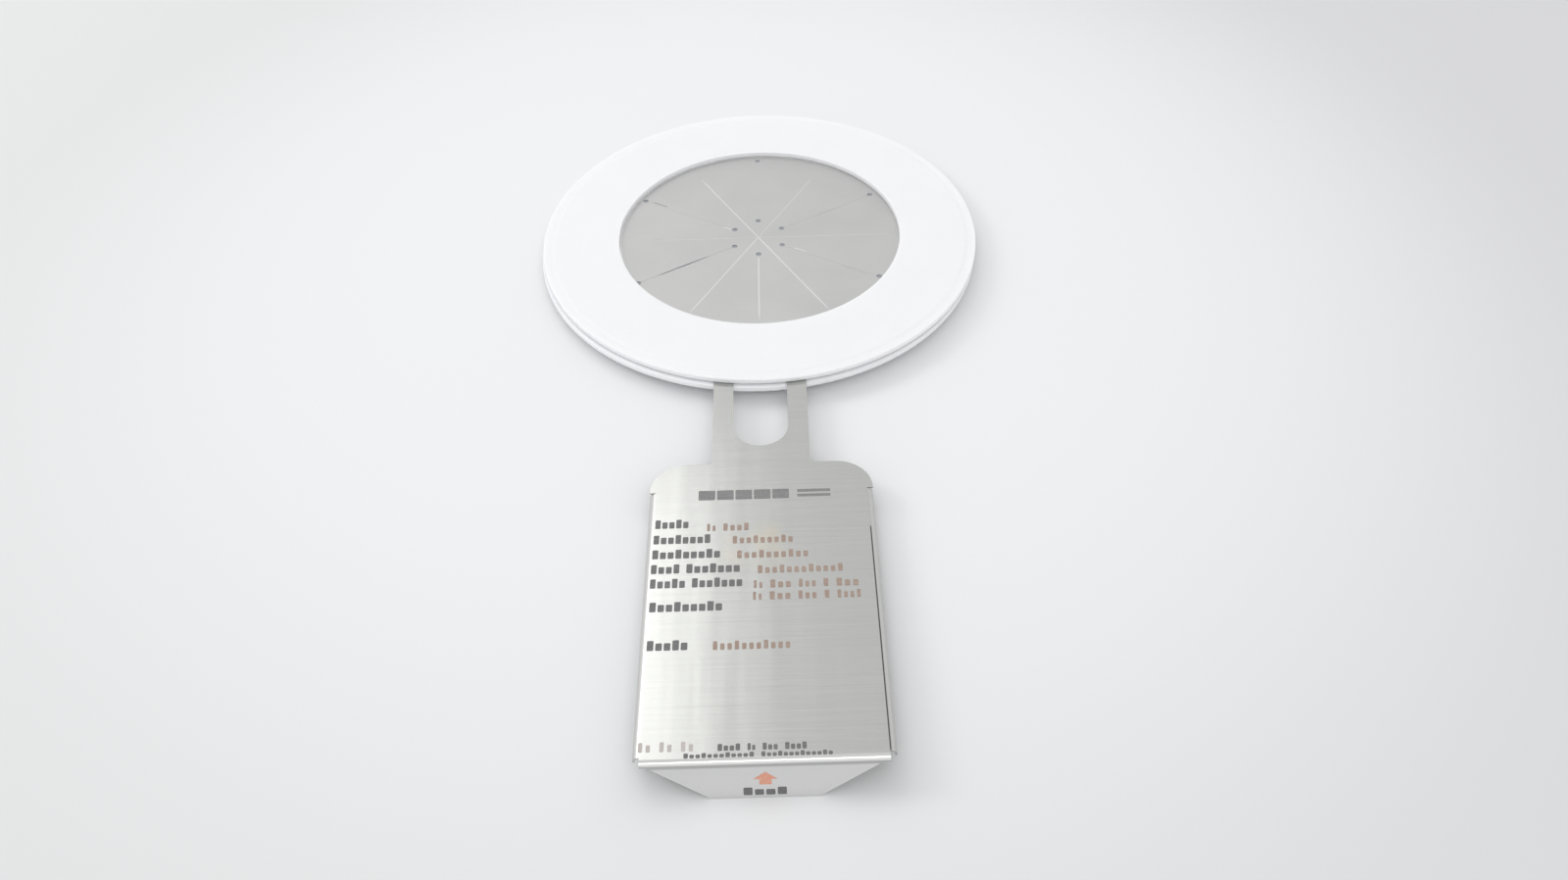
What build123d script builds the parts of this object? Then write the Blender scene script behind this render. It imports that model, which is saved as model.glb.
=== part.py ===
"""Flat composite rupture disc for a 3 inch class 150 flange joint, with its metal tag.

The disc is a stack, listed from the inlet side up:
  inlet_gasket    PTFE ring that seals on the lower flange
  tag_plate       sheet steel in one piece: ring, two straps, lettering face, side flanges, flow flap
  seal_film       thin fluoropolymer film that holds the pressure
  slotted_disc    nickel foil with six slits, whose narrow bridges set the burst pressure
  outlet_gasket   PTFE ring that seals on the upper flange

Millimetres. +Z is the direction of flow, -Y runs from the disc to the tag.
The origin is the centre of the inlet gasket's underside.
"""
from build123d import *
from math import cos, radians, sin, sqrt
import os

# gaskets
gasket_outer_diameter = 136.5
gasket_bore = 88.9
gasket_thickness = 1.6
gasket_edge_radius = 0.25
bore_edge_radius = 0.12
outlet_gasket_shift_x = 0.4  # the two gaskets were bonded a little off centre
outlet_gasket_shift_y = 1.0
rim_droop = 0.2  # the outlet gasket settles past the edge of the metal
droop_run = 1.2

# metal and film in the stack
sheet_thickness = 0.4
film_thickness = 0.1
foil_thickness = 0.15
metal_setback = 4.75  # from the inlet gasket's outer edge to the edge of the metal and film

# slotted disc
slit_count = 6
inner_hole_circle_radius = 8.65
outer_hole_inset = 1.85  # from the bore's wall to the outer circle of stop holes
stop_hole_diameter = 1.7
slit_width = 0.05
sprung_slit_index = 3  # counted from the slit at 30 degrees
sprung_slit_gap = 0.5  # this slit has sprung open in the middle
sprung_slit_start = 17.0
sprung_slit_end = 37.0
score_width = 0.22
score_depth = 0.03
# each score line: its angle in degrees, and where it starts and ends as shares of the bore's radius
score_lines = (
    (0, 0.0, 0.97),
    (60, 0.0, 0.86),
    (120, 0.0, 0.88),
    (180, 0.0, 0.74),
    (240, 0.0, 0.97),
    (300, 0.0, 0.97),
)

# tag
neck_width = 26.0
slot_width = 15.0
strap_length = 33.9  # from the edge of the ring to the tag's shoulders
slot_web = 6.4  # metal left between the slot's round end and the shoulder line
slot_root_radius = 3.5
strap_root_radius = 3.0
shoulder_radius = 9.2
shoulder_straight = 0.6  # from the end of that round to the side flange
neck_fillet = 1.0
tag_width = 57.8
bend_inner_radius = 1.2
bend_relief = 0.2  # the slit that frees each side bend from its shoulder
side_flange_length = 76.0
side_flange_height = 6.0
side_flange_corner = 4.0
flap_clearance = 0.5  # from the end of the side flanges to the start of the flap's bend
flap_angle = 70.0
flap_length = 9.0
flap_root_width = 51.6
flap_tip_width = 24.2
flap_corner_radius = 0.8

# worked out from the sizes above
plate_bottom = gasket_thickness
plate_top = plate_bottom + sheet_thickness
film_top = plate_top + film_thickness
foil_top = film_top + foil_thickness
gasket_radius = gasket_outer_diameter / 2
bore_radius = gasket_bore / 2
stack_radius = gasket_radius - metal_setback
outer_hole_circle_radius = bore_radius - outer_hole_inset
bend_outer_radius = bend_inner_radius + sheet_thickness
face_half_width = tag_width / 2 - bend_outer_radius
bend_axis_height = plate_bottom - bend_inner_radius

# distances along the tag, measured from the disc's centre
shoulder = stack_radius + strap_length
slot_end = shoulder - slot_web
side_flange_start = shoulder + shoulder_radius + shoulder_straight
shoulder_end = side_flange_start - bend_relief
side_flange_end = side_flange_start + side_flange_length
flap_bend_start = side_flange_end + flap_clearance
flange_middle = (side_flange_start + side_flange_end) / 2
flap_slope = radians(flap_angle)


def bend_section(bend_start, bend_angle):
    """The section of a downward bend, in a sketch whose x runs outwards and y runs up."""
    centre = (bend_start, bend_axis_height)
    with BuildSketch() as section:
        with BuildLine():
            outer = CenterArc(centre, bend_outer_radius, 90 - bend_angle, bend_angle)
            inner = CenterArc(centre, bend_inner_radius, 90 - bend_angle, bend_angle)
            Line(outer @ 0, inner @ 0)
            Line(outer @ 1, inner @ 1)
        make_face()
    return section.sketch


# ---------------------------------------------------------------- inlet gasket
with BuildPart() as inlet_gasket:
    with BuildSketch():
        Circle(gasket_radius)
        Circle(bore_radius, mode=Mode.SUBTRACT)
    extrude(amount=gasket_thickness)
    rim = inlet_gasket.faces().filter_by(GeomType.CYLINDER).sort_by(SortBy.RADIUS)[-1]
    fillet(rim.edges().filter_by(GeomType.CIRCLE), gasket_edge_radius)
inlet_gasket.part.label = "inlet_gasket"


# --------------------------------------------------------------- outlet gasket
# The section is a flat strip that steps down by rim_droop once it is past the metal.
droop_start = stack_radius + sqrt(outlet_gasket_shift_x**2 + outlet_gasket_shift_y**2)
droop_end = droop_start + droop_run
outlet_bottom = foil_top
outlet_top = outlet_bottom + gasket_thickness

outlet_axis_plane = Plane(
    origin=(outlet_gasket_shift_x, outlet_gasket_shift_y, 0),
    x_dir=(1, 0, 0),
    z_dir=(0, -1, 0),
)
with BuildPart() as outlet_gasket:
    with BuildSketch(outlet_axis_plane) as outlet_section:
        with BuildLine():
            under = Line((bore_radius, outlet_bottom), (droop_start, outlet_bottom))
            step_down = Spline(
                (droop_start, outlet_bottom),
                (droop_end, outlet_bottom - rim_droop),
                tangents=((1, 0), (1, 0)),
            )
            Line(step_down @ 1, (gasket_radius, outlet_bottom - rim_droop))
            Line((gasket_radius, outlet_bottom - rim_droop), (gasket_radius, outlet_top - rim_droop))
            Line((gasket_radius, outlet_top - rim_droop), (droop_end, outlet_top - rim_droop))
            Spline(
                (droop_end, outlet_top - rim_droop),
                (droop_start, outlet_top),
                tangents=((-1, 0), (-1, 0)),
            )
            Line((droop_start, outlet_top), (bore_radius, outlet_top))
            Line((bore_radius, outlet_top), under @ 0)
        make_face()
        fillet(outlet_section.vertices().group_by(Axis.X)[-1], gasket_edge_radius)
        bore_top = outlet_section.vertices().group_by(Axis.X)[0].sort_by(Axis.Z)[-1]
        fillet(bore_top, bore_edge_radius)
    revolve(axis=Axis(outlet_axis_plane.origin, (0, 0, 1)))
outlet_gasket.part.label = "outlet_gasket"


# -------------------------------------------------------------------- seal film
with BuildPart() as seal_film:
    with BuildSketch(Plane.XY.offset(plate_top)):
        Circle(stack_radius)
    extrude(amount=film_thickness)
seal_film.part.label = "seal_film"


# ----------------------------------------------------------------- slotted disc
slit_pitch = 360 / slit_count
slit_length = outer_hole_circle_radius - inner_hole_circle_radius
slit_middle = (outer_hole_circle_radius + inner_hole_circle_radius) / 2
sprung_angle = slit_pitch / 2 + sprung_slit_index * slit_pitch

with BuildPart() as slotted_disc:
    with BuildSketch(Plane.XY.offset(film_top)):
        Circle(stack_radius)
        with PolarLocations(inner_hole_circle_radius, slit_count, start_angle=slit_pitch / 2):
            Circle(stop_hole_diameter / 2, mode=Mode.SUBTRACT)
        with PolarLocations(outer_hole_circle_radius, slit_count, start_angle=slit_pitch / 2):
            Circle(stop_hole_diameter / 2, mode=Mode.SUBTRACT)
        with PolarLocations(slit_middle, slit_count, start_angle=slit_pitch / 2):
            Rectangle(slit_length, slit_width, mode=Mode.SUBTRACT)
    extrude(amount=foil_thickness)
    # the sprung slit: a slender lens along its own radius
    with BuildSketch(Plane.XY.offset(film_top).rotated((0, 0, sprung_angle))):
        with BuildLine():
            ThreePointArc(
                (sprung_slit_start, 0),
                ((sprung_slit_start + sprung_slit_end) / 2, sprung_slit_gap / 2),
                (sprung_slit_end, 0),
            )
            ThreePointArc(
                (sprung_slit_end, 0),
                ((sprung_slit_start + sprung_slit_end) / 2, -sprung_slit_gap / 2),
                (sprung_slit_start, 0),
            )
        make_face()
    extrude(amount=foil_thickness, mode=Mode.SUBTRACT)
    # shallow score lines on the outlet side
    for score_angle, start_share, end_share in score_lines:
        with BuildSketch(Plane.XY.offset(foil_top).rotated((0, 0, score_angle))):
            with Locations(((start_share + end_share) / 2 * bore_radius, 0)):
                Rectangle((end_share - start_share) * bore_radius, score_width)
        extrude(amount=-score_depth, mode=Mode.SUBTRACT)
slotted_disc.part.label = "slotted_disc"


# -------------------------------------------------------------------- tag plate
slot_half = slot_width / 2
slot_straight = slot_end - slot_half
neck_half = neck_width / 2
neck_root = sqrt(stack_radius**2 - neck_half**2)
slot_root = sqrt(stack_radius**2 - slot_half**2)


def nearest_vertices(sketch, x, y):
    """The sketch's two vertices that lie nearest to (x, y) and (-x, y)."""
    return [sketch.vertices().sort_by_distance((side * x, y))[0] for side in (1, -1)]


with BuildPart() as tag_plate:
    # flat blank: ring, neck with its slot, shoulders and lettering face
    with BuildSketch(Plane.XY.offset(plate_bottom)) as blank:
        Circle(stack_radius)
        with Locations((0, -shoulder / 2)):
            Rectangle(neck_width, shoulder)
        with Locations((0, -(slot_straight + bore_radius) / 2)):
            Rectangle(slot_width, slot_straight - bore_radius, mode=Mode.SUBTRACT)
        Circle(stack_radius)
        with Locations((0, -slot_straight)):
            Circle(slot_half, mode=Mode.SUBTRACT)
        fillet(nearest_vertices(blank, neck_half, -neck_root), strap_root_radius)
        fillet(nearest_vertices(blank, slot_half, -slot_root), slot_root_radius)
        with Locations((0, -(shoulder + shoulder_end) / 2)):
            Rectangle(tag_width, shoulder_end - shoulder)
        fillet(nearest_vertices(blank, tag_width / 2, -shoulder), shoulder_radius)
        fillet(nearest_vertices(blank, neck_half, -shoulder), neck_fillet)
        with Locations((0, -(shoulder_end + flap_bend_start) / 2)):
            Rectangle(2 * face_half_width, flap_bend_start - shoulder_end)
        Circle(bore_radius, mode=Mode.SUBTRACT)
    extrude(amount=sheet_thickness)

    # side flanges: a quarter bend, then an upright strip with its lower corners cut off
    for side in (1, -1):
        bend_plane = Plane((0, -side_flange_start, 0), x_dir=(side, 0, 0), z_dir=(0, -side, 0))
        with BuildSketch(bend_plane):
            add(bend_section(face_half_width, 90))
        extrude(amount=side * (side_flange_end - side_flange_start))
        strip_plane = Plane(
            (side * (tag_width / 2 - sheet_thickness), -flange_middle, bend_axis_height),
            x_dir=(0, side, 0),
            z_dir=(side, 0, 0),
        )
        with BuildSketch(strip_plane) as strip:
            Rectangle(
                side_flange_end - side_flange_start,
                side_flange_height - bend_outer_radius,
                align=(Align.CENTER, Align.MAX),
            )
            chamfer(strip.vertices().group_by(Axis.Y)[0], side_flange_corner)
        extrude(amount=sheet_thickness)

    # flow flap: a part bend across the whole end, then a narrower strip that tapers to its tip
    flap_bend_plane = Plane((face_half_width, 0, 0), x_dir=(0, -1, 0), z_dir=(-1, 0, 0))
    with BuildSketch(flap_bend_plane):
        add(bend_section(flap_bend_start, flap_angle))
    extrude(amount=2 * face_half_width)
    flap_plane = Plane(
        (
            0,
            -flap_bend_start - bend_inner_radius * sin(flap_slope),
            bend_axis_height + bend_inner_radius * cos(flap_slope),
        ),
        x_dir=(1, 0, 0),
        z_dir=(0, -sin(flap_slope), cos(flap_slope)),
    )
    with BuildSketch(flap_plane) as flap:
        with BuildLine():
            Polyline(
                (-flap_root_width / 2, 0),
                (flap_root_width / 2, 0),
                (flap_tip_width / 2, -flap_length),
                (-flap_tip_width / 2, -flap_length),
                close=True,
            )
        make_face()
        fillet(flap.vertices().group_by(Axis.Y)[0], flap_corner_radius)
    extrude(amount=sheet_thickness)
tag_plate.part.label = "tag_plate"

os.makedirs("parts", exist_ok=True)
for piece in (inlet_gasket, outlet_gasket, seal_film, slotted_disc, tag_plate):
    export_step(piece.part, f"parts/{piece.part.label}.step")
    print(piece.part.label, piece.part.is_valid, piece.part.volume)
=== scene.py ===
"""Looks for the flat composite rupture disc: white gaskets, slotted nickel foil and a brushed steel tag.

Lengths named *_mm are millimetres. What reaches Blender is in metres, in the frame of the CAD part:
+Z is the direction of flow and -Y runs from the disc to the tag.
"""
from math import atan2, cos, radians, sin

import bmesh
import bpy
from mathutils import Matrix, Vector


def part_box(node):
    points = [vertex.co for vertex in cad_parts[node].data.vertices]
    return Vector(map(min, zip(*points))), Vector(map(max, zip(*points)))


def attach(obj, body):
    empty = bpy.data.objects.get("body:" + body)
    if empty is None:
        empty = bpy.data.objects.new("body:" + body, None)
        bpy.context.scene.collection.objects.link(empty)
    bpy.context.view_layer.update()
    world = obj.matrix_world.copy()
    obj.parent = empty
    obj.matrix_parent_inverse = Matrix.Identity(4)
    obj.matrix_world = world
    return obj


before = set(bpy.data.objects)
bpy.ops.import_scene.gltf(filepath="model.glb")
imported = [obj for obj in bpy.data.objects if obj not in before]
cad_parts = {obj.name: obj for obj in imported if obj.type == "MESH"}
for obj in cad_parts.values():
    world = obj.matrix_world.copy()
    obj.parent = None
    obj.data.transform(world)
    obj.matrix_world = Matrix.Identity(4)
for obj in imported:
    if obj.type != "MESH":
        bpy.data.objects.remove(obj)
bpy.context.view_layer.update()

MM = 0.001
tag_low, tag_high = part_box("tag_plate")
rim_low, rim_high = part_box("inlet_gasket")
foil_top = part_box("slotted_disc")[1].z


def grey(value, warmth=0.0):
    """A linear grey, warmer above zero and cooler below it."""
    return (value * (1 + warmth), value, value * (1 - warmth), 1.0)


# ------------------------------------------------------------------ colours, as linear values
PTFE_CLOUDED = (0.888, 0.895, 0.925, 1)
PTFE_WHITE = (0.908, 0.914, 0.940, 1)
NICKEL_DULL = grey(0.468, 0.004)
NICKEL_CLEAN = grey(0.515, 0.004)
NICKEL_SCORED = grey(0.72)
# painted reflection: the foil's colour next to the white ring
NICKEL_PAINTED_RING_REFLECTION = grey(0.80)
# painted shade for the slits that stand open
SLIT_PAINTED_SHADE = (0.07, 0.08, 0.09, 1)
STEEL_DULL = (0.436, 0.440, 0.426, 1)
STEEL_CLEAN = (0.486, 0.490, 0.474, 1)
# painted light: the flow flap lighter than the face, for the light it catches
STEEL_FLAP_PAINTED_LIGHT = grey(0.72, 0.006)
STEEL_HEAT_TINT = (0.60, 0.52, 0.38, 1)
# painted reflections on the side bends
STEEL_LEFT_BEND_REFLECTION = grey(0.64, 0.01)
STEEL_RIGHT_BEND_REFLECTION = grey(0.62, 0.01)
# painted highlight along the top of the front fold
STEEL_FOLD_TOP_HIGHLIGHT = grey(0.72)
# painted dark reflection at the foot of the front fold
STEEL_FOLD_FOOT_DARK_REFLECTION = grey(0.20)
# painted dark reflection along the start of the right bend
STEEL_CREASE_DARK_REFLECTION = grey(0.045)
FILM_CLEAR = (0.60, 0.63, 0.68, 1)
FILM_MILKY = (0.70, 0.73, 0.78, 1)
# painted light on the table: lighter on the left and in a wide pool near the disc, darker towards the right
TABLE_LEFT_PAINTED_LIGHT = (0.748, 0.760, 0.760, 1)
TABLE_RIGHT_PAINTED_SHADE = (0.685, 0.685, 0.697, 1)
TABLE_NEAR_PAINTED_LIGHT = (0.850, 0.855, 0.865, 1)
# the inks and the laser marks: each one fresh, then where it has worn thin
DARK_INK = (grey(0.13), grey(0.22))
SOFT_INK = (grey(0.19), grey(0.30))
ARROW_RED = ((0.70, 0.30, 0.20, 1), (0.78, 0.50, 0.40, 1))
LASER_BROWN = ((0.30, 0.215, 0.175, 1), (0.46, 0.385, 0.335, 1))
LASER_FAINT = ((0.46, 0.42, 0.40, 1), (0.62, 0.58, 0.55, 1))

# ------------------------------------------------------------------ sizes of the printed and worked details
PRINT_DEPTH = 0.02 * MM
PRINT_LIFT = 0.004 * MM
GLYPH_CORNER = 0.28 * MM
FACE_HALF_MM = 27.3
SIDE_BEND_START_MM = 107.2
SIDE_BEND_END_MM = 183.2
CREASE_START_MM = 120.0
FLAP_BEND_START_MM = 183.7
FLAP_BEND_RADIUS_MM = 1.6
FLAP_ANGLE = radians(70.0)
# how far the outlet gasket lies off the disc's centre
RING_SHIFT_MM = (0.4, 1.0)
# where a reflection of that ring is painted on the foil: squared distances from the ring's centre, in
# thousands of square mm
RIM_GLOW = (1.910, 1.955)
# the same measure for the painted pool of light on the table, from the disc's centre
TABLE_GLOW = (70, 5)
# half the side of the table top, in metres
TABLE_REACH = 3.0
# the heat tint on the tag's face: left, right, near and far
TINT_MM = (-9, 12, 119, 131)

# label rows in dark ink: distance of the baseline from the disc's centre, left end, widths of the words
LABEL_HEIGHT_MM = 2.8
LABEL_ROWS = (
    (119.0, -26.9, (8.8,)),
    (124.0, -27.1, (14.6,)),
    (128.7, -27.2, (17.2,)),
    (133.3, -27.3, (7.4, 13.5)),
    (137.7, -27.3, (8.9, 12.6)),
    (144.7, -27.1, (17.8,)),
    (155.7, -27.1, (9.9,)),
)
# value rows, marked by laser in a warm brown
VALUE_HEIGHT_MM = 2.4
VALUE_ROWS = (
    (120.2, -13.8, (2.8, 7.0)),
    (124.4, -7.3, (15.6,)),
    (129.1, -6.2, (18.2,)),
    (133.9, -1.1, (21.4,)),
    (138.4, -2.1, (2.7, 5.6, 4.7, 1.8, 6.0)),
    (141.9, -2.3, (2.7, 5.6, 5.0, 1.8, 6.2)),
    (155.9, -11.7, (18.6,)),
)
# the fainter mark near the bright corner of the face
DATE_ROW = (182.0, -27.6, (3.4, 3.4, 3.4))
# small print at the end of the face
FOOTER_ROWS = (
    (182.1, -10.2, (5.2, 2.0, 3.6, 5.0), 1.7),
    (183.7, -17.6, (15.6, 15.8), 1.2),
)
# the word on the flow flap, from the top of the flap, and the height of its blocks
FLAP_WORD = (8.3, -4.9, (10.0,))
FLAP_WORD_HEIGHT_MM = 2.1
WORD_GAP_MM = 1.3
SHORT_BLOCK_SHARE = 0.74

# the header: blocks with two small lines beside them. Spans are distances from the disc's centre
HEADER_BLOCKS = 5
HEADER_LEFT_MM = -16.2
HEADER_PITCH_MM = 4.75
HEADER_BLOCK_MM = 4.3
HEADER_SPAN_MM = (109.9, 106.7)
HEADER_LINES_MM = (9.2, 17.8)
HEADER_LINE_SPANS_MM = ((107.9, 107.0), (109.5, 108.6))

# lighter lines along the foil's score grooves: angle in degrees, start and end from the centre in mm,
# strength
SCORES = (
    (0, 0.0, 43.0, 0.40),
    (60, 0.0, 38.0, 0.40),
    (120, 0.0, 39.0, 0.60),
    (180, 0.0, 33.0, 0.32),
    (240, 0.0, 43.0, 0.62),
    (300, 0.0, 43.0, 0.70),
    (270, 10.5, 41.0, 0.60),
    (152, 9.8, 13.2, 0.55),
    (-28, 12.6, 17.8, 0.60),
)
# slits that stay shut: their angles, their ends between the stop holes and the half width of their lips
SHUT_SLITS = (30, 90, 150, 270, 330)
SLIT_START_MM = 9.45
SLIT_END_MM = 41.8
SLIT_LIP_MM = 0.05

# slits whose lips stand a little open, with the shade in their gaps painted dark: angle, start and end from
# the centre in mm, strength
SPRUNG_GAP_SHADE = ((149.2, 34.5, 41.0, 0.55), (-31.0, 30.0, 40.0, 0.12), (29.5, 22.0, 34.0, 0.10))


# lamps: name, place, the point it faces, size, watts
LAMPS = (
    ("window_left", (-1.030, 1.15, 1.8), (-1.030, 1.15, 0), (1.7, 1.05), 9.0),
    ("skylight", (-1.9, 0.5, 1.4), (0, 0, 0), (0.7, 0.7), 9.0),
    ("front_fill", (0.2, -1.3, 1.7), (0, -0.1, 0), (1.6, 0.6), 6.8),
)
ROOM_LIGHT_ON_SURFACES = 0.745

CAMERA_LENS_MM = 28.65
CAMERA_PLACE = (0.00591, -0.32100, 0.24416)
CAMERA_PITCH, CAMERA_YAW, CAMERA_ROLL = radians(46.257), radians(0.082), radians(1.599)


# ------------------------------------------------------------------ shader building
class Signal:
    """A shader socket that takes part in Python arithmetic. Each operation on it adds one Math node."""

    def __init__(self, finish, socket):
        self.finish = finish
        self.socket = socket

    def math(self, operation, *values):
        return self.finish.node("ShaderNodeMath", {"operation": operation}, dict(enumerate(values)))

    def __add__(self, other):
        return self.math("ADD", self, other)

    def __radd__(self, other):
        return self.math("ADD", other, self)

    def __sub__(self, other):
        return self.math("SUBTRACT", self, other)

    def __rsub__(self, other):
        return self.math("SUBTRACT", other, self)

    def __mul__(self, other):
        return self.math("MULTIPLY", self, other)

    def __rmul__(self, other):
        return self.math("MULTIPLY", other, self)

    def __abs__(self):
        return self.math("ABSOLUTE", self)

    def high(self, other):
        return self.math("MAXIMUM", self, other)

    def rise(self, low, high):
        """0 below low, 1 above high, smooth between them. It falls when low is above high."""
        values = {"Value": self, "From Min": low, "From Max": high}
        return self.finish.node("ShaderNodeMapRange", {"interpolation_type": "SMOOTHSTEP"}, values)


class Finish:
    """One material: a Principled shader, its constant values, and the nodes that feed what varies."""

    def __init__(self, name, **constants):
        self.material = bpy.data.materials.new(name)
        self.material.use_nodes = True
        self.tree = self.material.node_tree
        self.shader = self.tree.nodes["Principled BSDF"]
        for key, value in constants.items():
            socket = key.replace("_", " ").title().replace("Ior", "IOR")
            self.shader.inputs[socket].default_value = value
        self.place = self.node("ShaderNodeTexCoord", output="Object")
        self.x, self.y, self.z = (self.along(axis) for axis in range(3))

    def along(self, axis):
        """The place on the object along one axis, in millimetres."""
        return self.node("ShaderNodeSeparateXYZ", inputs={0: self.place}, output=axis) * 1000

    def node(self, kind, settings=None, inputs=None, output=0):
        """Adds one node: its settings first, then the values or links of its sockets."""
        made = self.tree.nodes.new(kind)
        for setting, value in (settings or {}).items():
            setattr(made, setting, value)
        for socket, value in (inputs or {}).items():
            if isinstance(value, Signal):
                self.tree.links.new(value.socket, made.inputs[socket])
            else:
                made.inputs[socket].default_value = value
        return Signal(self, made.outputs[output])

    def noise(self, stretch, detail=2.0, roughness=0.5, shift=(0, 0, 0)):
        """Soft noise from 0 to 1. stretch is how many of its cells fit in a millimetre, along each axis."""
        cells = [1000 * cell for cell in stretch]
        placing = {"Vector": self.place, "Scale": cells, "Location": shift}
        where = self.node("ShaderNodeMapping", inputs=placing)
        values = {"Vector": where, "Scale": 1.0, "Detail": detail, "Roughness": roughness}
        return self.node("ShaderNodeTexNoise", inputs=values)

    def mix(self, share, first, second):
        """A colour between first and second."""
        return self.node("ShaderNodeMix", {"data_type": "RGBA"}, {0: share, 6: first, 7: second}, output=2)

    def bump(self, height, distance, strength=1.0, under=None):
        """A normal from a height signal, in millimetres of depth."""
        inputs = {"Height": height, "Distance": distance * MM, "Strength": strength}
        if under is not None:
            inputs["Normal"] = under
        return self.node("ShaderNodeBump", inputs=inputs)

    def feed(self, socket, signal):
        self.tree.links.new(signal.socket, self.shader.inputs[socket])


def gasket_finish(name, seed):
    """Skived PTFE: waxy white, with faint cloudy patches, fine knife lines and slight waviness."""
    white = Finish(name, roughness=0.46, ior=1.36, subsurface_weight=0.55, subsurface_scale=2.0 * MM)
    white.shader.inputs["Subsurface Radius"].default_value = (1.0, 1.0, 1.0)
    clouds = white.noise((0.05, 0.05, 0.05), detail=4, shift=(seed, 0, 0))
    fine = white.noise((0.9, 0.9, 0.9), detail=3, shift=(0, seed, 0))
    knife = white.noise((0.02, 3.0, 0.5), detail=2, shift=(0, 0, seed))
    tone = clouds.rise(0.25, 0.75) * 0.75 + fine.rise(0.3, 0.7) * 0.25
    white.feed("Base Color", white.mix(tone, PTFE_CLOUDED, PTFE_WHITE))
    white.feed("Roughness", 0.40 + fine * 0.14)
    waves = white.bump(clouds, 0.35, 0.5)
    lines = white.bump(knife, 0.008, 0.35, waves)
    white.feed("Normal", white.bump(fine, 0.012, 0.35, lines))
    return white.material


def band(signal, start, full, fading, end):
    """0 before start, 1 from full to fading and 0 after end, along one signal."""
    return signal.rise(start, full) * signal.rise(end, fading)


def radial_lines(finish, lines, edge, core):
    """Soft-ended lines out from the disc's centre, as one mask. edge and core are half widths in mm."""
    mask = None
    for angle, start, end, strength in lines:
        turn = radians(angle)
        along = finish.x * cos(turn) + finish.y * sin(turn)
        across = abs(finish.y * cos(turn) - finish.x * sin(turn))
        fade = 0.35 * min(end - start, 12)
        line = across.rise(edge, core) * band(along, start - 0.3, start + 0.5, end - fade, end) * strength
        mask = line if mask is None else mask.high(line)
    return mask


def foil_finish():
    """Rolled nickel foil, satin, with lighter lines along its score grooves, and a painted reflection of
    the white ring near the bore's far edge.
    """
    foil = Finish("nickel_foil", metallic=1.0)
    cloud = foil.noise((0.035, 0.05, 0.05), detail=5, roughness=0.6)
    grain = foil.noise((0.25, 7.0, 1.0), detail=3)
    specks = foil.noise((2.2, 2.2, 1.0), detail=2)
    bright = radial_lines(foil, SCORES, 0.34, 0.06)
    gap_shade = radial_lines(foil, SPRUNG_GAP_SHADE, 0.30, 0.05)
    tone = cloud.rise(0.3, 0.7) * 0.6 + grain * 0.3 + specks * 0.1
    body = foil.mix(tone, NICKEL_DULL, NICKEL_CLEAN)
    across, along = foil.x - RING_SHIFT_MM[0], foil.y - RING_SHIFT_MM[1]
    squared = (across * across + along * along) * 0.001
    # painted reflection of the white ring, lighter on the foil along the far, left half of the bore's edge
    painted_rim_reflection = squared.rise(*RIM_GLOW) * (along - across).rise(0, 40)
    body = foil.mix(painted_rim_reflection * 0.7, body, NICKEL_PAINTED_RING_REFLECTION)
    body = foil.mix(bright, body, NICKEL_SCORED)
    # painted shade: the gaps of the open slits are coloured dark
    foil.feed("Base Color", foil.mix(gap_shade, body, SLIT_PAINTED_SHADE))
    foil.feed("Roughness", 0.46 + cloud * 0.10 - bright * 0.10)
    undulation = foil.bump(cloud, 0.25, 0.35)
    foil.feed("Normal", foil.bump(grain, 0.004, 0.35, undulation))
    return foil.material


def box_mask(finish, left, right, near, far, soft):
    """1 inside a rectangle of the tag's face, with soft sides. near and far run from the disc's centre."""
    across = band(finish.x, left - soft, left + soft, right - soft, right + soft)
    along = band(finish.y, -far - soft, -far + soft, -near - soft, -near + soft)
    return across * along


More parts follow.
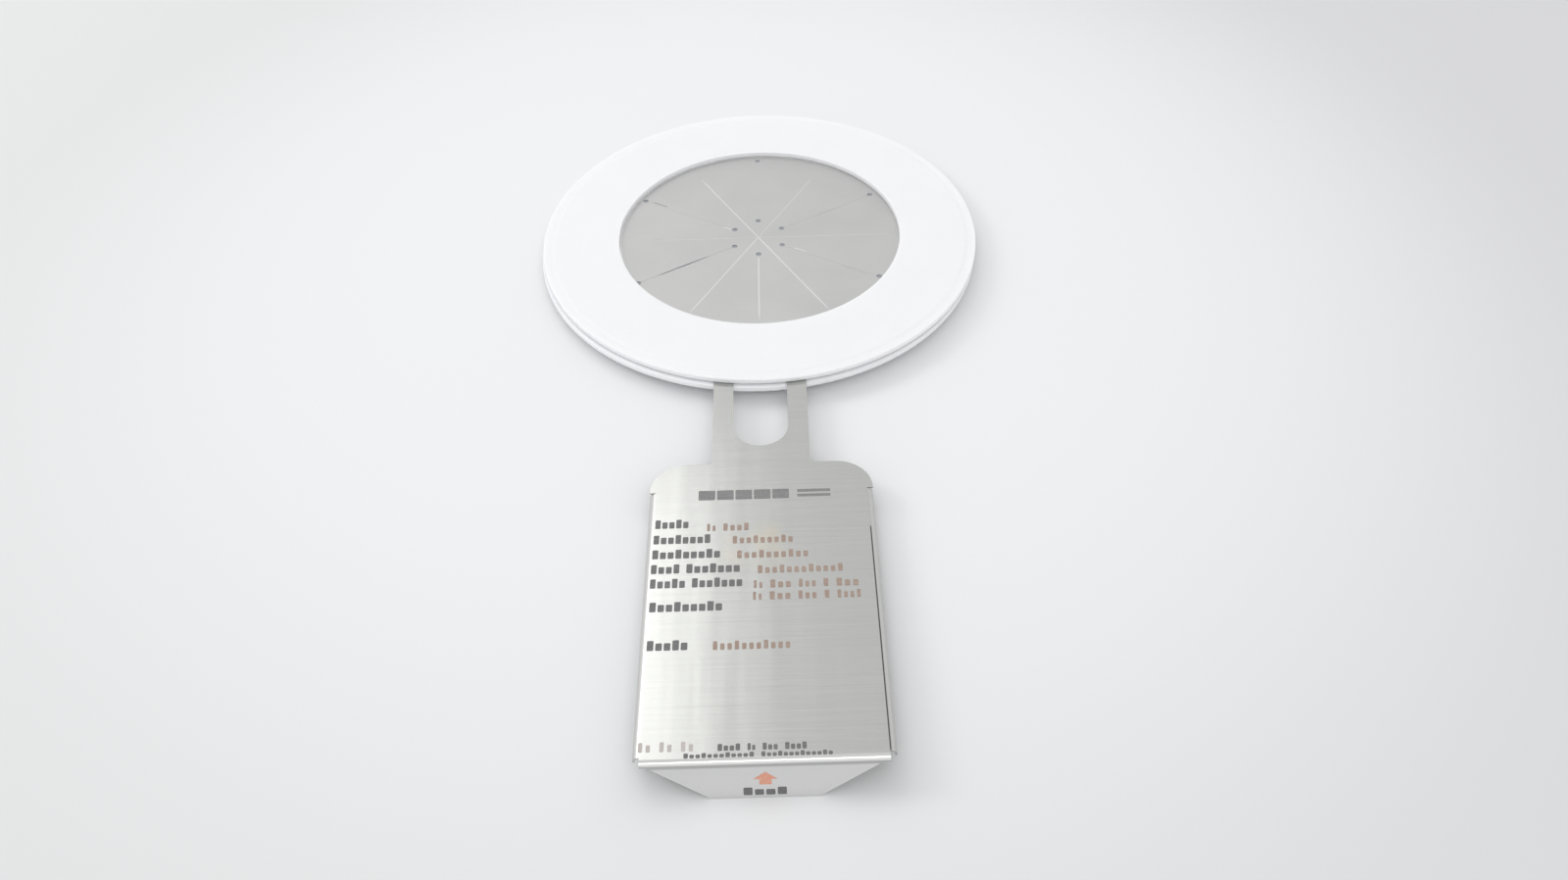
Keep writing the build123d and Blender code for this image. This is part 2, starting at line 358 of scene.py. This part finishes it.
def tag_finish():
    """Stainless sheet, brushed straight across, with a tint by the marking and painted reflections: lighter
    on the side bends, the top of the fold and the flap, darker at the foot of the fold and in a line along
    the start of the right bend.
    """
    steel = Finish("brushed_stainless_tag", metallic=1.0)
    brushing = steel.noise((0.06, 9.0, 9.0), detail=4, roughness=0.65)
    coarse = steel.noise((0.02, 2.2, 2.2), detail=3, roughness=0.6)
    waves = steel.noise((0.10, 0.012, 0.05), detail=2)
    stain = steel.noise((0.16, 0.16, 0.16), detail=4)
    past_left = -FACE_HALF_MM - steel.x
    past_right = steel.x - FACE_HALF_MM
    past_fold = -FLAP_BEND_START_MM - steel.y
    beside = steel.y.rise(-SIDE_BEND_START_MM, -SIDE_BEND_START_MM - 0.4)
    left_bend_reflection = past_left.rise(0, 0.5) * beside
    right_bend_reflection = past_right.rise(0.2, 0.6) * beside
    fold_top_highlight = band(past_fold, -0.2, 0.1, 0.6, 1.0)
    fold_foot_dark_reflection = band(past_fold, 1.25, 1.40, 1.60, 1.75)
    # painted dark reflection in a thin line where the right bend starts
    crease_reflection = band(past_right, -0.14, 0, 0.16, 0.32)
    crease_reflection = crease_reflection * box_mask(steel, 0, 40, CREASE_START_MM, SIDE_BEND_END_MM, 0.6)
    tone = brushing * 0.55 + coarse * 0.45
    body = steel.mix(tone.rise(0.25, 0.75), STEEL_DULL, STEEL_CLEAN)
    # painted light: the flap's colour is raised above the face's
    body = steel.mix(past_fold.rise(0.3, 1.4), body, STEEL_FLAP_PAINTED_LIGHT)
    upper = steel.z.rise(tag_high.z / MM - 0.3, tag_high.z / MM - 0.1)
    tint = box_mask(steel, *TINT_MM, 3.5) * stain.rise(0.45, 0.75) * upper * 0.35
    body = steel.mix(tint, body, STEEL_HEAT_TINT)
    # painted reflections: the colour of the side bends
    body = steel.mix(left_bend_reflection * 0.75, body, STEEL_LEFT_BEND_REFLECTION)
    body = steel.mix(right_bend_reflection * 0.30, body, STEEL_RIGHT_BEND_REFLECTION)
    # painted highlight at the top of the front fold
    body = steel.mix(fold_top_highlight * 0.45, body, STEEL_FOLD_TOP_HIGHLIGHT)
    # painted dark reflection at the foot of the front fold
    body = steel.mix(fold_foot_dark_reflection * 0.45, body, STEEL_FOLD_FOOT_DARK_REFLECTION)
    steel.feed("Base Color", steel.mix(crease_reflection * 0.92, body, STEEL_CREASE_DARK_REFLECTION))
    steel.feed("Roughness", 0.15 + brushing * 0.10)
    form = steel.bump(waves, 0.16, 0.5)
    wide = steel.bump(coarse, 0.006, 0.5, form)
    steel.feed("Normal", steel.bump(brushing, 0.0025, 0.8, wide))
    return steel.material


def film_finish():
    """Clear fluoropolymer film, faintly milky."""
    film = Finish("clear_film", roughness=0.2, ior=1.36)
    haze = film.noise((0.15, 0.15, 0.15), detail=3)
    film.feed("Base Color", film.mix(haze, FILM_CLEAR, FILM_MILKY))
    film.feed("Alpha", 0.30 + haze * 0.12)
    film.feed("Normal", film.bump(haze, 0.03, 0.5))
    return film.material


def ink_finish(name, colour, worn):
    """Screen ink or laser mark: thin, slightly uneven, with the brushing showing through it."""
    ink = Finish(name, roughness=0.55, ior=1.45)
    brushing = ink.noise((0.06, 9.0, 9.0), detail=4, roughness=0.65)
    mottle = ink.noise((1.6, 1.6, 1.6), detail=2)
    fade = brushing.rise(0.35, 0.75) * 0.6 + mottle.rise(0.4, 0.8) * 0.4
    ink.feed("Base Color", ink.mix(fade, colour, worn))
    ink.feed("Roughness", 0.42 + brushing * 0.2)
    ink.feed("Normal", ink.bump(brushing, 0.0035, 0.6))
    return ink.material


def floor_finish():
    """A plain pale table top, with painted light: lighter near the disc and a touch darker towards the
    right.
    """
    table = Finish("pale_table", roughness=0.75)
    table.shader.inputs["Specular IOR Level"].default_value = 0.15
    cloud = table.noise((0.004, 0.004, 0.004), detail=2)
    share = (table.x + cloud * 60).rise(-330, 420)
    # painted falloff of the light from left to right
    painted_falloff = table.mix(share, TABLE_LEFT_PAINTED_LIGHT, TABLE_RIGHT_PAINTED_SHADE)
    squared = (table.x * table.x + table.y * table.y) * 0.001
    table.feed("Base Color", table.mix(squared.rise(*TABLE_GLOW), painted_falloff, TABLE_NEAR_PAINTED_LIGHT))
    return table.material


# ------------------------------------------------------------------ printed shapes
def add_block(mesh, left, right, bottom, top, seat):
    """One rounded block of print, flat in the plane that the matrix seat gives."""
    size = Matrix.Diagonal((right - left, top - bottom, 1, 1))
    centre = Matrix.Translation(((left + right) / 2, (bottom + top) / 2, 0))
    made = bmesh.ops.create_grid(mesh, x_segments=1, y_segments=1, size=0.5, matrix=seat @ centre @ size)
    corner = min(GLYPH_CORNER, 0.35 * (right - left), 0.35 * (top - bottom))
    bmesh.ops.bevel(
        mesh, geom=made["verts"], offset=corner, segments=3, profile=0.5, affect="VERTICES", material=-1
    )


def add_words(mesh, row, height_mm, seat, pitch_mm=1.9, gap_mm=0.42):
    """A row of plain blocks that fills the place of each word, tall and short ones by turns."""
    baseline, left, words = row
    start = left
    for word in words:
        count = max(1, round(word / pitch_mm))
        step = word / count
        for index in range(count):
            tall = index == 0 or index % 4 == 3
            top = height_mm if tall else SHORT_BLOCK_SHARE * height_mm
            x = start + index * step
            right = x + step - gap_mm
            add_block(mesh, x * MM, right * MM, -baseline * MM, (top - baseline) * MM, seat)
        start += word + WORD_GAP_MM


def finish_print(name, mesh, material, seat):
    """Gives the flat blocks their thickness, makes them an object and fastens it to the part."""
    lift = bmesh.ops.extrude_face_region(mesh, geom=mesh.faces[:])
    raised = [item for item in lift["geom"] if isinstance(item, bmesh.types.BMVert)]
    bmesh.ops.translate(mesh, verts=raised, vec=seat.col[2].to_3d() * PRINT_DEPTH)
    bmesh.ops.recalc_face_normals(mesh, faces=mesh.faces)
    data = bpy.data.meshes.new(name)
    mesh.to_mesh(data)
    mesh.free()
    data.materials.append(material)
    piece = bpy.data.objects.new(name, data)
    bpy.context.scene.collection.objects.link(piece)
    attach(piece, "root")
    return piece


def face_seat():
    """The plane of the tag's lettering face."""
    return Matrix.Translation((0, 0, tag_high.z + PRINT_LIFT))


def flap_seat():
    """The outer plane of the flow flap: its origin is at the top, its Y runs up the flap."""
    axis_z = tag_high.z - FLAP_BEND_RADIUS_MM * MM
    origin = Vector(
        (
            0,
            -(FLAP_BEND_START_MM + FLAP_BEND_RADIUS_MM * sin(FLAP_ANGLE)) * MM,
            axis_z + FLAP_BEND_RADIUS_MM * cos(FLAP_ANGLE) * MM,
        )
    )
    normal = Vector((0, -sin(FLAP_ANGLE), cos(FLAP_ANGLE)))
    up = Vector((0, cos(FLAP_ANGLE), sin(FLAP_ANGLE)))
    turn = Matrix((Vector((1, 0, 0)), up, normal)).transposed().to_4x4()
    return Matrix.Translation(origin + normal * PRINT_LIFT) @ turn


def print_labels(material):
    """The dark rows that stand for the names of the entries."""
    mesh = bmesh.new()
    for row in LABEL_ROWS:
        add_words(mesh, row, LABEL_HEIGHT_MM, face_seat())
    return finish_print("tag_label_blocks", mesh, material, face_seat())


def print_header(material):
    """Five plain blocks with two small lines beside them, where a maker's sign would be."""
    mesh = bmesh.new()
    low, high = HEADER_SPAN_MM
    for index in range(HEADER_BLOCKS):
        left = HEADER_LEFT_MM + HEADER_PITCH_MM * index
        right = left + HEADER_BLOCK_MM
        add_block(mesh, left * MM, right * MM, -low * MM, -high * MM, face_seat())
    left, right = HEADER_LINES_MM
    for low, high in HEADER_LINE_SPANS_MM:
        add_block(mesh, left * MM, right * MM, -low * MM, -high * MM, face_seat())
    return finish_print("tag_header_bar", mesh, material, face_seat())


def print_values(material):
    """The brown rows that stand for the marked entries."""
    mesh = bmesh.new()
    for row in VALUE_ROWS:
        add_words(mesh, row, VALUE_HEIGHT_MM, face_seat(), pitch_mm=1.75, gap_mm=0.65)
    return finish_print("tag_value_blocks", mesh, material, face_seat())


def print_date(material):
    """The faint row in the corner of the face."""
    mesh = bmesh.new()
    add_words(mesh, DATE_ROW, VALUE_HEIGHT_MM, face_seat(), pitch_mm=1.75, gap_mm=0.75)
    return finish_print("tag_date_blocks", mesh, material, face_seat())


def print_footer(material):
    """The small print along the end of the face."""
    mesh = bmesh.new()
    for baseline, left, words, height in FOOTER_ROWS:
        add_words(mesh, (baseline, left, words), height, face_seat(), pitch_mm=1.25, gap_mm=0.3)
    return finish_print("tag_footer_blocks", mesh, material, face_seat())


def print_flap_bar(material):
    """The word under the arrow, as plain blocks."""
    mesh = bmesh.new()
    add_words(mesh, FLAP_WORD, FLAP_WORD_HEIGHT_MM, flap_seat(), pitch_mm=2.5, gap_mm=0.5)
    return finish_print("flap_word_blocks", mesh, material, flap_seat())


def print_arrow(material):
    """A plain arrow that points with the flow."""
    half_head, half_stem = 2.7 * MM, 1.35 * MM
    top, neck, foot = -1.9 * MM, -3.9 * MM, -5.4 * MM
    outline = (
        (0, top), (-half_head, neck), (-half_stem, neck), (-half_stem, foot),
        (half_stem, foot), (half_stem, neck), (half_head, neck),
    )
    mesh = bmesh.new()
    seat = flap_seat()
    mesh.faces.new([mesh.verts.new(seat @ Vector((x, y, 0))) for x, y in outline])
    return finish_print("flap_flow_arrow", mesh, material, seat)


def close_slits(material):
    """The sheared lips of the slits that stay shut, which meet with no gap to be seen."""
    mesh = bmesh.new()
    for angle in SHUT_SLITS:
        turn = Matrix.Rotation(radians(angle), 4, "Z")
        seat = Matrix.Translation((0, 0, foil_top)) @ turn
        add_block(mesh, SLIT_START_MM * MM, SLIT_END_MM * MM, -SLIT_LIP_MM * MM, SLIT_LIP_MM * MM, seat)
    return finish_print("slit_lips", mesh, material, Matrix.Translation((0, 0, foil_top)))


# ------------------------------------------------------------------ stage, light and camera
def lay_floor():
    """A table top that touches the disc's far edge and the tip of the flap, as the real one lies."""
    slope = atan2(rim_low.z - tag_low.z, rim_high.y - tag_low.y)
    mesh = bmesh.new()
    spread = Matrix.Translation((0, rim_high.y, rim_low.z)) @ Matrix.Rotation(slope, 4, "X")
    bmesh.ops.create_grid(mesh, x_segments=8, y_segments=8, size=TABLE_REACH, matrix=spread)
    data = bpy.data.meshes.new("table_top")
    mesh.to_mesh(data)
    mesh.free()
    data.materials.append(floor_finish())
    table = bpy.data.objects.new("table_top", data)
    bpy.context.scene.collection.objects.link(table)


def add_lamp(name, place, target, size, watts):
    """A rectangular area lamp that faces the target."""
    light = bpy.data.lights.new(name, "AREA")
    light.shape = "RECTANGLE"
    light.size, light.size_y = size
    light.energy = watts
    lamp = bpy.data.objects.new(name, light)
    lamp.location = place
    lamp.rotation_euler = (Vector(target) - Vector(place)).to_track_quat("-Z", "Y").to_euler()
    bpy.context.scene.collection.objects.link(lamp)


def light_stage():
    """A broad softbox above on the left, a small one beside it, a dim one in front, and a white room."""
    for lamp in LAMPS:
        add_lamp(*lamp)
    world = bpy.data.worlds.new("white_room")
    world.use_nodes = True
    tree = world.node_tree
    background = tree.nodes["Background"]
    background.inputs["Color"].default_value = (1.0, 1.0, 1.0, 1)
    path = tree.nodes.new("ShaderNodeLightPath")
    seen = path.outputs["Is Camera Ray"]
    for ray in ("Is Glossy Ray", "Is Transmission Ray"):
        either = tree.nodes.new("ShaderNodeMath")
        either.operation = "MAXIMUM"
        tree.links.new(seen, either.inputs[0])
        tree.links.new(path.outputs[ray], either.inputs[1])
        seen = either.outputs[0]
    strength = tree.nodes.new("ShaderNodeMapRange")
    strength.inputs["To Min"].default_value = ROOM_LIGHT_ON_SURFACES
    strength.inputs["To Max"].default_value = 1.0
    tree.links.new(seen, strength.inputs["Value"])
    tree.links.new(strength.outputs[0], background.inputs["Strength"])
    bpy.context.scene.world = world


def set_camera():
    """The camera stands in front of the tag and looks down at the disc."""
    camera = bpy.data.cameras.new("camera")
    camera.sensor_width = 36.0
    camera.lens = CAMERA_LENS_MM
    camera.clip_start = 0.01
    pitch, yaw, roll = CAMERA_PITCH, CAMERA_YAW, CAMERA_ROLL
    ahead = Vector((sin(yaw) * cos(pitch), cos(yaw) * cos(pitch), -sin(pitch)))
    level = Vector((cos(yaw), -sin(yaw), 0))
    down = ahead.cross(level)
    right = level * cos(roll) + down * sin(roll)
    low = down * cos(roll) - level * sin(roll)
    holder = bpy.data.objects.new("camera", camera)
    turn = Matrix((right, -low, -ahead)).transposed().to_4x4()
    holder.matrix_world = Matrix.Translation(CAMERA_PLACE) @ turn
    bpy.context.scene.collection.objects.link(holder)
    bpy.context.scene.camera = holder


# ------------------------------------------------------------------ the scene
def dress(node, material):
    """Gives a CAD node its finish."""
    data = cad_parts[node].data
    data.materials.clear()
    data.materials.append(material)


bpy.context.scene.view_settings.view_transform = "Standard"
set_camera()
light_stage()
lay_floor()

dress("inlet_gasket", gasket_finish("skived_ptfe_inlet", 3.0))
dress("outlet_gasket", gasket_finish("skived_ptfe_outlet", 11.0))
foil_look = foil_finish()
dress("slotted_disc", foil_look)
close_slits(foil_look)
dress("seal_film", film_finish())
dress("tag_plate", tag_finish())

dark_ink = ink_finish("dark_ink", *DARK_INK)
laser_brown = ink_finish("laser_brown", *LASER_BROWN)
arrow_red = ink_finish("arrow_red", *ARROW_RED)
print_header(ink_finish("soft_ink", *SOFT_INK))
print_labels(dark_ink)
print_footer(dark_ink)
print_values(laser_brown)
print_date(ink_finish("faint_laser_mark", *LASER_FAINT))
print_arrow(arrow_red)
print_flap_bar(dark_ink)
